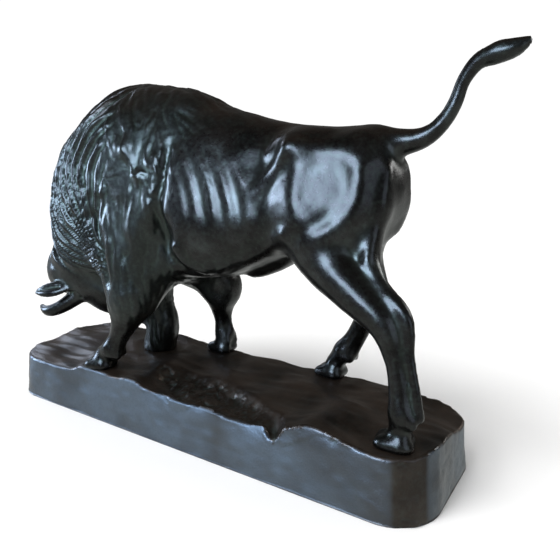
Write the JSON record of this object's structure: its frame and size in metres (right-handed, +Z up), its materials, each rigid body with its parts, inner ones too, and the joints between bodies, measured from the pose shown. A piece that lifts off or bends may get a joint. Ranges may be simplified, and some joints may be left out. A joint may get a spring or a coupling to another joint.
{
  "type": "bull sculpture",
  "caption": "Cast bronze sculpture of a bison bull with a bowed head and a raised tail, standing on a rocky plinth.",
  "frame": {"origin": "centre of the plinth's underside", "axes": "+Z up, -X towards the head end of the plinth, -Y towards the near side that the picture shows"},
  "size_m": [0.444, 0.1202, 0.2935],
  "materials": {
    "figure_bronze": "dark brown-black patina with grey-green in the hollows, waxed",
    "plinth_bronze": "dark brown patina with rubbed reddish patches, waxed"
  },
  "bodies": {
    "root": {"bull": "figure_bronze", "plinth": "plinth_bronze"}
  },
  "joints": []
}
